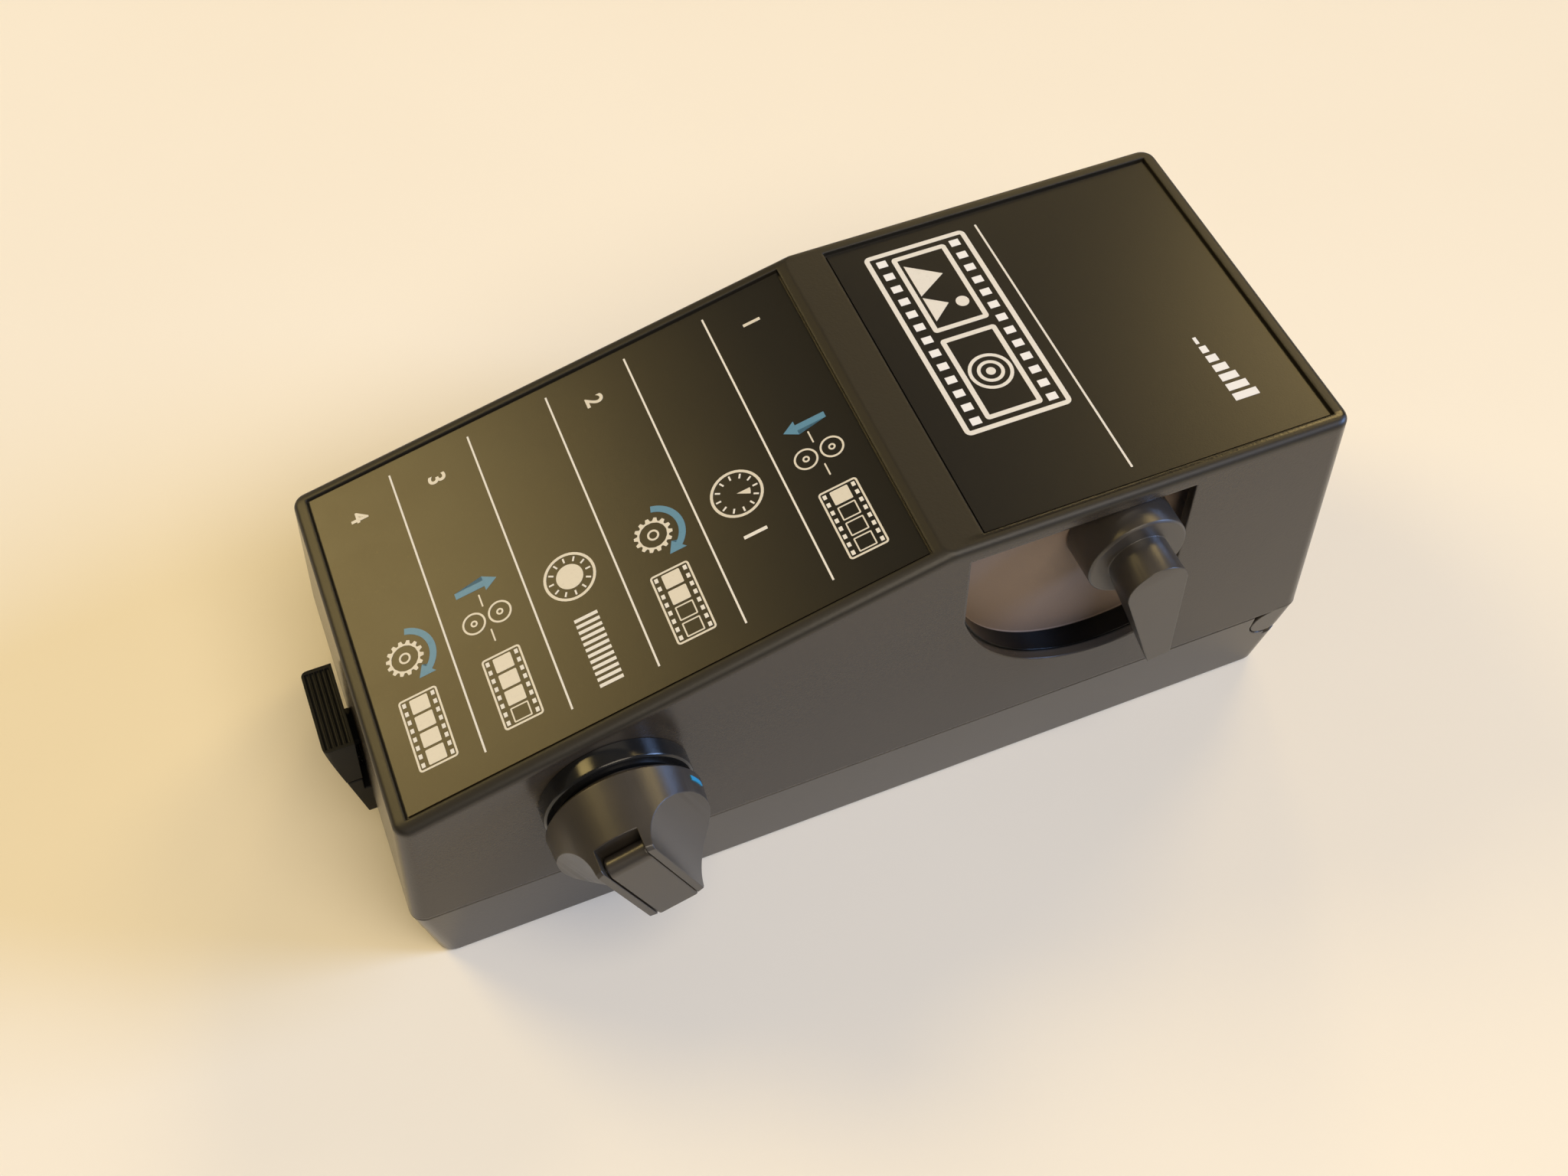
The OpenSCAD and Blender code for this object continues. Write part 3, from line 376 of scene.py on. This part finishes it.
FINISHES = dict(
    PLASTICS, label_plate=label_black(), steel=drawn_steel(), rubber=dull_rubber(),
    index_blue=printed("index_blue", (0.03, 0.3, 0.5, 1), (0.02, 0.22, 0.4, 1)))
WHITE_INK = printed("white_ink", (0.72, 0.7, 0.65, 1), (0.6, 0.58, 0.53, 1))
BLUE_INK = printed("blue_ink", (0.1, 0.27, 0.45, 1), (0.08, 0.21, 0.36, 1))

MATTE = matte_black()
OWN_FINISH = {"lever_well": recess_black(), "latch_button": MATTE, "latch_guard": MATTE}
ROWS = {row["node"]: row for row in frame["record"]["subparts"]}

for name, row in ROWS.items():
    slots = NODES[name].data.materials
    slots.clear()
    slots.append(OWN_FINISH.get(name) or FINISHES[row["material_slot"]])
print("finishes on", len(NODES), "nodes:", sorted(FINISHES))

# %% [markdown]
# ## Rounded edges
# Moulded parts have no sharp edges: the mould leaves a small radius, and that radius catches the light as a thin bright
# rim. The pieces that are handled show it most, so each of them gets a stand-in: a copy of its solid, with flat faces
# merged, whose sharp edges are cut round by a Bevel modifier. Hardened normals keep the faces beside a rounded edge free
# of streaks. The solid itself stays as it is.

# %% Rounded stand-ins
SAME_POINT, SAME_PLANE, SHARP_EDGE = 2e-6, math.radians(1.5), math.radians(30)
ROUNDED = {"crank_knob": 0.6, "crank_handle": 0.7, "crank_collar": 0.5, "lever_handle": 0.6, "latch_guard": 0.45}


def plain_mesh(host):
    """The object's shape after its modifiers, which are then removed."""
    graph = bpy.context.evaluated_depsgraph_get()
    mesh = bpy.data.meshes.new_from_object(host.evaluated_get(graph), depsgraph=graph)
    host.modifiers.clear()
    return mesh


def soften(node, radius):
    merged = bmesh.new()
    merged.from_mesh(NODES[node].data)
    bmesh.ops.remove_doubles(merged, verts=merged.verts, dist=SAME_POINT)
    bmesh.ops.dissolve_limit(merged, angle_limit=SAME_PLANE, verts=merged.verts, edges=merged.edges)
    mesh = bpy.data.meshes.new(node + "_round")
    merged.to_mesh(mesh)
    merged.free()
    mesh.shade_smooth()
    mesh.set_sharp_from_angle(angle=SHARP_EDGE)
    host = bpy.data.objects.new(node + "_round", mesh)
    bpy.context.scene.collection.objects.link(host)
    bevel = host.modifiers.new("edges", "BEVEL")
    bevel.width, bevel.segments, bevel.angle_limit = radius * MM, 3, SHARP_EDGE
    bevel.harden_normals = True
    host.data = plain_mesh(host)
    host.data.materials.clear()
    host.data.materials.append(NODES[node].data.materials[0])
    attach(host, body_of(NODES[node])[0])
    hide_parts(node)
    return len(host.data.polygons)


for node, radius in ROUNDED.items():
    print(node, "stand-in with", soften(node, radius), "faces")

# %% [markdown]
# ## Print on the label plates
# The plates carry screen print: lines that part the steps, step numbers, and small pictures in white and blue. Print
# could be painted in the material, but a thin solid keeps its sharp edge at any distance, so each mark is a flat
# outline with a thickness of a few hundredths of a millimetre. A mark is drawn in millimetres on a flat sheet, where
# `a` runs to the reader's right and `b` up the label, and one matrix then lays the sheet on its plate.

# %% Sheets on the two plates
LABEL_SUNK = 0.8
INK_GAP, INK_TOP = 0.005, 0.04


def sheet(origin, up):
    """Matrix from millimetres on the sheet to metres on a plate."""
    right = Vector((0, -1, 0))
    out = right.cross(up)
    axes = Matrix((right, up, out)).transposed().to_4x4()
    return Matrix.Translation(Vector(origin) * MM) @ axes @ Matrix.Scale(MM, 4)


SLOPE_UP = Vector((math.cos(SLOPE), 0, math.sin(SLOPE)))
SLOPE_OUT = Vector((0, -1, 0)).cross(SLOPE_UP)
ON_SLOPE = sheet(Vector((LOW_X, 0, LOW_Z)) - LABEL_SUNK * SLOPE_OUT, SLOPE_UP)
ON_FLAT = sheet((0, 0, TALL_Z - LABEL_SUNK), Vector((1, 0, 0)))
print("slope of the step label:", round(math.degrees(SLOPE), 2), "degrees")


# %% Drawing flat marks
def turned(points, angle, at=(0, 0)):
    c, s = math.cos(math.radians(angle)), math.sin(math.radians(angle))
    return [(at[0] + x * c - y * s, at[1] + x * s + y * c) for x, y in points]


def arc(r, start, end, steps=24, at=(0, 0)):
    angles = [math.radians(start + (end - start) * i / steps) for i in range(steps + 1)]
    return [(at[0] + r * math.cos(t), at[1] + r * math.sin(t)) for t in angles]


def round_box(width, height, r, at=(0, 0)):
    x, y = at[0] + width / 2 - r, at[1] + height / 2 - r
    left, low = at[0] - width / 2 + r, at[1] - height / 2 + r
    return (arc(r, 0, 90, 5, (x, y)) + arc(r, 90, 180, 5, (left, y)) + arc(r, 180, 270, 5, (left, low))
            + arc(r, 270, 360, 5, (x, low)))


class Marks:
    """Flat closed solids drawn on a sheet, gathered in one mesh."""

    def __init__(self):
        self.mesh = bmesh.new()

    def _loops(self, outline):
        return [[self.mesh.verts.new((x, y, z)) for x, y in outline] for z in (INK_GAP, INK_TOP)]

    def fill(self, outline):
        """Solid patch inside an outline that runs anticlockwise."""
        low, top = self._loops(outline)
        self.mesh.faces.new(top)
        self.mesh.faces.new(low[::-1])
        for i in range(len(low)):
            j = (i + 1) % len(low)
            self.mesh.faces.new((low[i], low[j], top[j], top[i]))

    def frame(self, outer, inner):
        """Solid between two outlines with the same number of points."""
        (low_out, top_out), (low_in, top_in) = self._loops(outer), self._loops(inner)
        for i in range(len(outer)):
            j = (i + 1) % len(outer)
            self.mesh.faces.new((top_out[i], top_out[j], top_in[j], top_in[i]))
            self.mesh.faces.new((low_out[j], low_out[i], low_in[i], low_in[j]))
            self.mesh.faces.new((low_out[i], low_out[j], top_out[j], top_out[i]))
            self.mesh.faces.new((low_in[j], low_in[i], top_in[i], top_in[j]))

    def ring(self, r, line, at, steps=40):
        self.frame(arc(r, 0, 360, steps, at)[:-1], arc(r - line, 0, 360, steps, at)[:-1])

    def box_line(self, width, height, r, line, at):
        self.frame(round_box(width, height, r, at),
                   round_box(width - 2 * line, height - 2 * line, max(r - line, 0.05), at))

    def arc_arrow(self, r, line, start, end, at):
        """Bent arrow from one angle to another, with its head at the second."""
        way = 1 if end > start else -1
        neck = end - way * math.degrees(line * 2.0 / r)
        tip = arc(r, end, end, 1, at)[:1]
        head = arc(r + line * 1.25, neck, neck, 1, at)[:1], arc(r - line * 1.25, neck, neck, 1, at)[:1]
        outer, inner = (arc(r + side * line / 2, start, neck, 20, at) for side in (1, -1))
        outline = outer + head[0] + tip + head[1] + inner[::-1]
        self.fill(outline if way > 0 else outline[::-1])

    def arrow(self, length, line, angle, at):
        half, head = line / 2, line * 1.25
        points = [(0, -half), (length - 2 * line, -half), (length - 2 * line, -head), (length, 0),
                  (length - 2 * line, head), (length - 2 * line, half), (0, half)]
        self.fill(turned(points, angle, at))

    def lay(self, name, place, ink):
        """Turn the marks into a piece of print that rides on the lid."""
        bmesh.ops.triangulate(self.mesh, faces=[f for f in self.mesh.faces if len(f.verts) > 4])
        mesh = bpy.data.meshes.new(name)
        self.mesh.to_mesh(mesh)
        self.mesh.free()
        mesh.transform(place)
        mesh.materials.append(ink)
        return ride_on_lid(bpy.data.objects.new(name, mesh))


def ride_on_lid(piece):
    if not piece.users_collection:
        bpy.context.scene.collection.objects.link(piece)
    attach(piece, "lid")
    return piece.name


print("drawing tools ready")

# %% [markdown]
# ## Marks that repeat
# The dividing lines, the film holes and the ticks of a dial are rows and rings of one small shape. Geometry Nodes make
# them: the tree has a named input for every size, so a row with another count or pitch is the same tree with other
# numbers. The modifier's inputs are set by their identifiers before the object is evaluated, and its result is turned
# into a plain mesh, because instances would be lost in an export.

# %% A tree with named sizes
class Pattern(Net):
    """A Geometry Nodes tree with named sizes, grown into plain meshes."""

    def __init__(self, name, **sizes):
        super().__init__(bpy.data.node_groups.new(name, "GeometryNodeTree"))
        for label, value in sizes.items():
            kind = "NodeSocketInt" if isinstance(value, int) else "NodeSocketFloat"
            self.tree.interface.new_socket(label, in_out="INPUT", socket_type=kind).default_value = value
        self.tree.interface.new_socket("Mesh", in_out="OUTPUT", socket_type="NodeSocketGeometry")
        self.given = self.tree.nodes.new("NodeGroupInput")

    def size(self, label):
        return Value(self, self.given.outputs[label])

    def vector(self, x=0.0, y=0.0, z=0.0):
        return self.node("ShaderNodeCombineXYZ", {}, {0: x, 1: y, 2: z})

    def bar(self, width, height, lift=0.0):
        """A thin bar of print, on the sheet."""
        cube = self.node("GeometryNodeMeshCube", {}, {"Size": self.vector(width, height, INK_TOP - INK_GAP)})
        return self.node("GeometryNodeTransform", {}, {
            "Geometry": cube, "Translation": self.vector(0.0, lift, (INK_TOP + INK_GAP) / 2)})

    def repeat(self, points, shape, turn=(0, 0, 0), scale=(1, 1, 1)):
        return self.node("GeometryNodeInstanceOnPoints", {}, {
            "Points": points, "Instance": shape, "Rotation": turn, "Scale": scale})

    def end(self, mesh, ink):
        real = self.node("GeometryNodeRealizeInstances", {}, {0: mesh})
        inked = self.node("GeometryNodeSetMaterial", {}, {"Geometry": real, "Material": ink})
        self.tree.links.new(inked.socket, self.tree.nodes.new("NodeGroupOutput").inputs[0])
        return self

    def grow(self, name, places, **sizes):
        """One mesh with the pattern at each of the places, sizes given by their names."""
        host = bpy.data.objects.new(name, bpy.data.meshes.new(name))
        bpy.context.scene.collection.objects.link(host)
        modifier = host.modifiers.new("pattern", "NODES")
        modifier.node_group = self.tree
        for item in self.tree.interface.items_tree:
            if item.in_out == "INPUT" and item.name in sizes:
                modifier[item.identifier] = sizes[item.name]
        grown = plain_mesh(host)
        joined = bmesh.new()
        for place in places:
            one = grown.copy()
            one.transform(place)
            joined.from_mesh(one)
        joined.to_mesh(host.data)
        joined.free()
        host.data.materials.append(grown.materials[0])
        return host


def at(place, a, b, turn=0.0):
    """The sheet moved to a point of the same plate."""
    return place @ Matrix.Translation((a, b, 0)) @ Matrix.Rotation(math.radians(turn), 4, "Z")


def row_pattern(name, ink):
    """A straight row of bars, along b."""
    p = Pattern(name, Count=5, Pitch=22.0, Width=80.0, Height=0.5)
    points = p.node("GeometryNodeMeshLine", {}, {"Count": p.size("Count"), "Offset": p.vector(0.0, p.size("Pitch"))})
    return p.end(p.repeat(points, p.bar(p.size("Width"), p.size("Height"))), ink)


def ring_pattern(name, ink):
    """Bars set on a ring, each pointing at its middle."""
    p = Pattern(name, Count=12, Radius=5.0, Width=0.5, Height=1.2)
    circle = p.node("GeometryNodeMeshCircle", {}, {"Vertices": p.size("Count"), "Radius": p.size("Radius")})
    step = 2 * math.pi / p.size("Count")
    index = p.node("GeometryNodeInputIndex")
    turn = p.vector(0.0, 0.0, index * step)
    return p.end(p.repeat(circle, p.bar(p.size("Height"), p.size("Width")), turn), ink)


def wedge_pattern(name, ink):
    """Bars on one foot line, along a, each taller than the one before it."""
    p = Pattern(name, Count=7, Pitch=3.0, Width=2.0, Height=6.0)
    points = p.node("GeometryNodeMeshLine", {}, {"Count": p.size("Count"), "Offset": p.vector(p.size("Pitch"))})
    share = (p.node("GeometryNodeInputIndex") + 1.0) / p.size("Count")
    bar = p.bar(p.size("Width"), p.size("Height"), p.size("Height") / 2)
    return p.end(p.repeat(points, bar, scale=p.vector(1.0, share, 1.0)), ink)


WHITE_ROW = row_pattern("white_row", WHITE_INK)
WHITE_WEDGE = wedge_pattern("white_wedge", WHITE_INK)
WHITE_RING = ring_pattern("white_ring", WHITE_INK)
print("patterns:", [g.name for g in bpy.data.node_groups])

# %% [markdown]
# ## The step label
# Six rows run down the slope: four working steps and two waits. Each step has its number on the left, then a picture:
# a pair of rollers with a straight arrow, or a toothed wheel with a bent one, and a strip of film on which one more
# frame is filled at each step. A wait shows a clock and a row of bars, one for every five seconds.

# %% Lines and numbers
LINE_LOW, LINE_PITCH = 25.7, 22.05
STEP_ROWS = {"1": 124.4, "2": 80.6, "3": 36.6, "4": 14.8}
WAIT_ROWS = {1: 102.7, 12: 58.5}
NUMBER_AT, NUMBER_SIZE, NUMBER_BOLD = -36.0, 6.4, 0.12


def step_numbers():
    joined = bmesh.new()
    for digit, b in STEP_ROWS.items():
        curve = bpy.data.curves.new("digit", "FONT")
        curve.body, curve.size, curve.align_x, curve.align_y = digit, NUMBER_SIZE, "CENTER", "CENTER"
        curve.extrude, curve.offset = (INK_TOP - INK_GAP) / 2, NUMBER_BOLD
        text = bpy.data.objects.new("digit", curve)
        bpy.context.scene.collection.objects.link(text)
        mesh = plain_mesh(text)
        bpy.data.objects.remove(text)
        mesh.transform(at(ON_SLOPE, NUMBER_AT, b) @ Matrix.Translation((0, 0, (INK_TOP + INK_GAP) / 2)))
        joined.from_mesh(mesh)
    bmesh.ops.remove_doubles(joined, verts=joined.verts, dist=1e-7)
    bmesh.ops.recalc_face_normals(joined, faces=joined.faces)
    mesh = bpy.data.meshes.new("step_numbers")
    joined.to_mesh(mesh)
    joined.free()
    mesh.materials.clear()
    mesh.materials.append(WHITE_INK)
    return ride_on_lid(bpy.data.objects.new("step_numbers", mesh))


lines = WHITE_ROW.grow("step_lines", [at(ON_SLOPE, -1.1, LINE_LOW)], Count=5, Pitch=LINE_PITCH, Width=85.3, Height=0.5)
print(ride_on_lid(lines), step_numbers())

# %% Pictures of the steps
ROLLER_A, WHEEL_A, STRIP_A, CLOCK_A, BARS_A = 8.5, 8.5, 29.0, 8.5, 19.0
STRIP_W, STRIP_H, FINE = 20.0, 10.0, 0.5


def roller_pair(white, blue, b, way):
    for side in (-1, 1):
        white.ring(3.0, FINE, (ROLLER_A, b + side * 3.4))
        white.ring(0.9, 0.45, (ROLLER_A, b + side * 3.4), 20)
    for side in (-1, 1):
        white.fill(round_box(3.6, 0.4, 0.15, (ROLLER_A + side * 5.2, b)))
    blue.arrow(11.0, 1.7, 90 * way, (ROLLER_A - 9.4, b - 5.5 * way))


def toothed_wheel(white, blue, b):
    teeth, root, tip = 14, 3.9, 4.8
    outer = [p for i in range(teeth) for p in turned(
        [(root, -0.62), (tip, -0.38), (tip, 0.38), (root, 0.62)], 360 / teeth * i, (WHEEL_A, b))]
    inner = [p for i in range(teeth) for p in turned(
        [(root - FINE, -0.55), (root - FINE, -0.2), (root - FINE, 0.2), (root - FINE, 0.55)],
        360 / teeth * i, (WHEEL_A, b))]
    white.frame(outer, inner)
    white.ring(1.5, FINE, (WHEEL_A, b), 24)
    blue.arc_arrow(7.2, 1.7, 165, 15, (WHEEL_A, b))


def film_strip(white, b, filled):
    white.box_line(STRIP_W, STRIP_H, 0.9, FINE, (STRIP_A, b))
    for i in range(4):
        middle = (STRIP_A + (i - 1.5) * 4.7, b)
        if i < filled:
            white.fill(round_box(4.0, 4.6, 0.3, middle))
        else:
            white.box_line(4.0, 4.6, 0.3, 0.35, middle)


def clock(white, b, share):
    white.ring(6.6, 0.7, (CLOCK_A, b))
    wedge = arc(3.4, 90 - 360 * share, 90, 36, (CLOCK_A, b))
    white.fill(wedge[:-1] if share == 1 else wedge + [(CLOCK_A, b)])


white, blue = Marks(), Marks()
for (digit, b), filled in zip(STEP_ROWS.items(), range(1, 5)):
    film_strip(white, b, filled)
    if digit in "13":
        roller_pair(white, blue, b, -1 if digit == "1" else 1)
    else:
        toothed_wheel(white, blue, b)
for bars, b in WAIT_ROWS.items():
    clock(white, b, bars / 12)
print(white.lay("step_pictures", ON_SLOPE, WHITE_INK), blue.lay("step_arrows", ON_SLOPE, BLUE_INK))

# %% Film holes, clock ticks and waiting bars
holes = WHITE_ROW.grow(
    "film_holes", [at(ON_SLOPE, STRIP_A + STRIP_W / 2 - 1.6, b + side * 3.7, 90)
                   for b in STEP_ROWS.values() for side in (-1, 1)], Count=8, Pitch=2.4, Width=0.9, Height=1.2)
ticks = WHITE_RING.grow(
    "clock_ticks", [at(ON_SLOPE, CLOCK_A, b) for b in WAIT_ROWS.values()], Count=12, Radius=4.8, Width=0.45, Height=1.3)
print(ride_on_lid(holes), ride_on_lid(ticks))
for bars, b in WAIT_ROWS.items():
    row = WHITE_ROW.grow(f"wait_bars_{bars}", [at(ON_SLOPE, BARS_A + 1.7 * bars, b, 90)], Count=bars, Pitch=1.7,
                         Width=6.0, Height=0.9)
    print(ride_on_lid(row))

# %% [markdown]
# ## The flat panel
# A large strip of film in white line lies over a thin rule that crosses the panel. One frame holds a plain landscape,
# the other a lens of rings. A small wedge of rising bars, as on an exposure scale, stands near the tall end.

# %% Film strip on the flat panel
PANEL_MID, PANEL_W, PANEL_H, BOLD = (-11.0, 47.5), 62.0, 28.0, 1.3
PANEL_FRAME_W, PANEL_FRAME_H, PANEL_FRAME_STEP = 27.0, 15.0, 29.5
RULE_X, RULE_W, RULE_LINE = 65.1, 84.8, 0.55


def panel_strip():
    white = Marks()
    mid_a, mid_x = PANEL_MID
    white.box_line(PANEL_W, PANEL_H, 1.6, BOLD, PANEL_MID)
    left, right = (mid_a + side * PANEL_FRAME_STEP / 2 for side in (-1, 1))
    for a in (left, right):
        white.box_line(PANEL_FRAME_W, PANEL_FRAME_H, 1.0, BOLD, (a, mid_x))
    foot = mid_x - PANEL_FRAME_H / 2 + BOLD + 0.8
    white.fill([(left - 10, foot), (left + 1, foot), (left - 4.2, foot + 8.2)])
    white.fill([(left + 1.6, foot), (left + 10, foot), (left + 5.4, foot + 5.4)])
    white.fill(arc(1.7, 0, 360, 28, (left + 6.2, mid_x + 3.4))[:-1])
    for r in (5.6, 3.4):
        white.ring(r, 0.9, (right, mid_x))
    white.fill(arc(1.2, 0, 360, 24, (right, mid_x))[:-1])
    white.fill(round_box(RULE_W, RULE_LINE, 0.1, (0.1, RULE_X)))
    return white.lay("panel_film_strip", ON_FLAT, WHITE_INK)


panel_holes = WHITE_ROW.grow(
    "panel_film_holes", [at(ON_FLAT, PANEL_MID[0] + PANEL_W / 2 - 3.6, PANEL_MID[1] + side * 10.1, 90)
                         for side in (-1, 1)], Count=13, Pitch=4.57, Width=2.6, Height=2.2)
wedge = WHITE_WEDGE.grow("panel_wedge", [at(ON_FLAT, 14.0, 97.5)], Count=7, Pitch=3.2, Width=2.2, Height=6.5)
print(panel_strip(), ride_on_lid(panel_holes), ride_on_lid(wedge))

# %% [markdown]
# ## Stage and light
# A pale table under a wide lamp overhead and in front, with three warm lamps behind and the cool light of a far window
# low on the right. The label plates mirror the space behind the machine, so the warm lamps give their corners a brown
# sheen and leave the rest dark. The window's light is cut off by the machine, which leaves the table yellow at its left.

# %% Stage and light
TABLE_HALF, AIM = 2.4, Vector((0, 0, 0.05))


def pale_table():
    f = Finish("pale_table", Roughness=0.8, Specular_IOR_Level=0.0)
    paper = f.noise(0.15, 3.0)
    f.feed("Base Color", f.blend(paper, (0.88, 0.82, 0.7, 1), (0.91, 0.86, 0.75, 1)))
    mesh = bpy.data.meshes.new("table")
    corners = [(x * TABLE_HALF, y * TABLE_HALF, 0) for x, y in ((-1, -1), (1, -1), (1, 1), (-1, 1))]
    mesh.from_pydata(corners, [], [(0, 1, 2, 3)])
    mesh.materials.append(f.material)
    table = bpy.data.objects.new("table", mesh)
    bpy.context.scene.collection.objects.link(table)


def hang(name, kind, at, colour, **settings):
    """A lamp at a place, turned to the machine."""
    data = bpy.data.lights.new(name, kind)
    data.color = colour
    for key, value in settings.items():
        setattr(data, key, value)
    lamp = bpy.data.objects.new(name, data)
    lamp.location = at
    lamp.rotation_euler = (AIM - Vector(at)).to_track_quat("-Z", "Y").to_euler()
    bpy.context.scene.collection.objects.link(lamp)


def soft_lamp(name, at, size, power, colour):
    hang(name, "AREA", at, colour, shape="DISK", size=size, energy=power)


def room_light(level, colour):
    world = bpy.data.worlds.new("room")
    world.use_nodes = True
    back = world.node_tree.nodes["Background"]
    back.inputs["Color"].default_value = (*colour, 1)
    back.inputs["Strength"].default_value = level
    bpy.context.scene.world = world


pale_table()
soft_lamp("lamp_over", (0.15, -0.85, 1.4), 1.2, 17.5, (1.0, 0.86, 0.66))
soft_lamp("lamp_left", (-0.85, 0.95, 1.15), 0.7, 9.6, (1.0, 0.74, 0.28))
soft_lamp("lamp_right", (1.14, 0.75, 1.22), 0.6, 5.6, (1.0, 0.73, 0.3))
soft_lamp("lamp_back", (0.65, 1.25, 0.75), 0.3, 2.4, (1.0, 0.73, 0.3))
hang("window", "SUN", (3.4, -1.2, 1.5), (0.34, 0.54, 1.0), energy=2.8, angle=math.radians(20))
room_light(0.12, (1.0, 0.96, 0.9))
bpy.context.scene.view_settings.view_transform = "Standard"
print("table, four lamps, a window and the room light are in place")
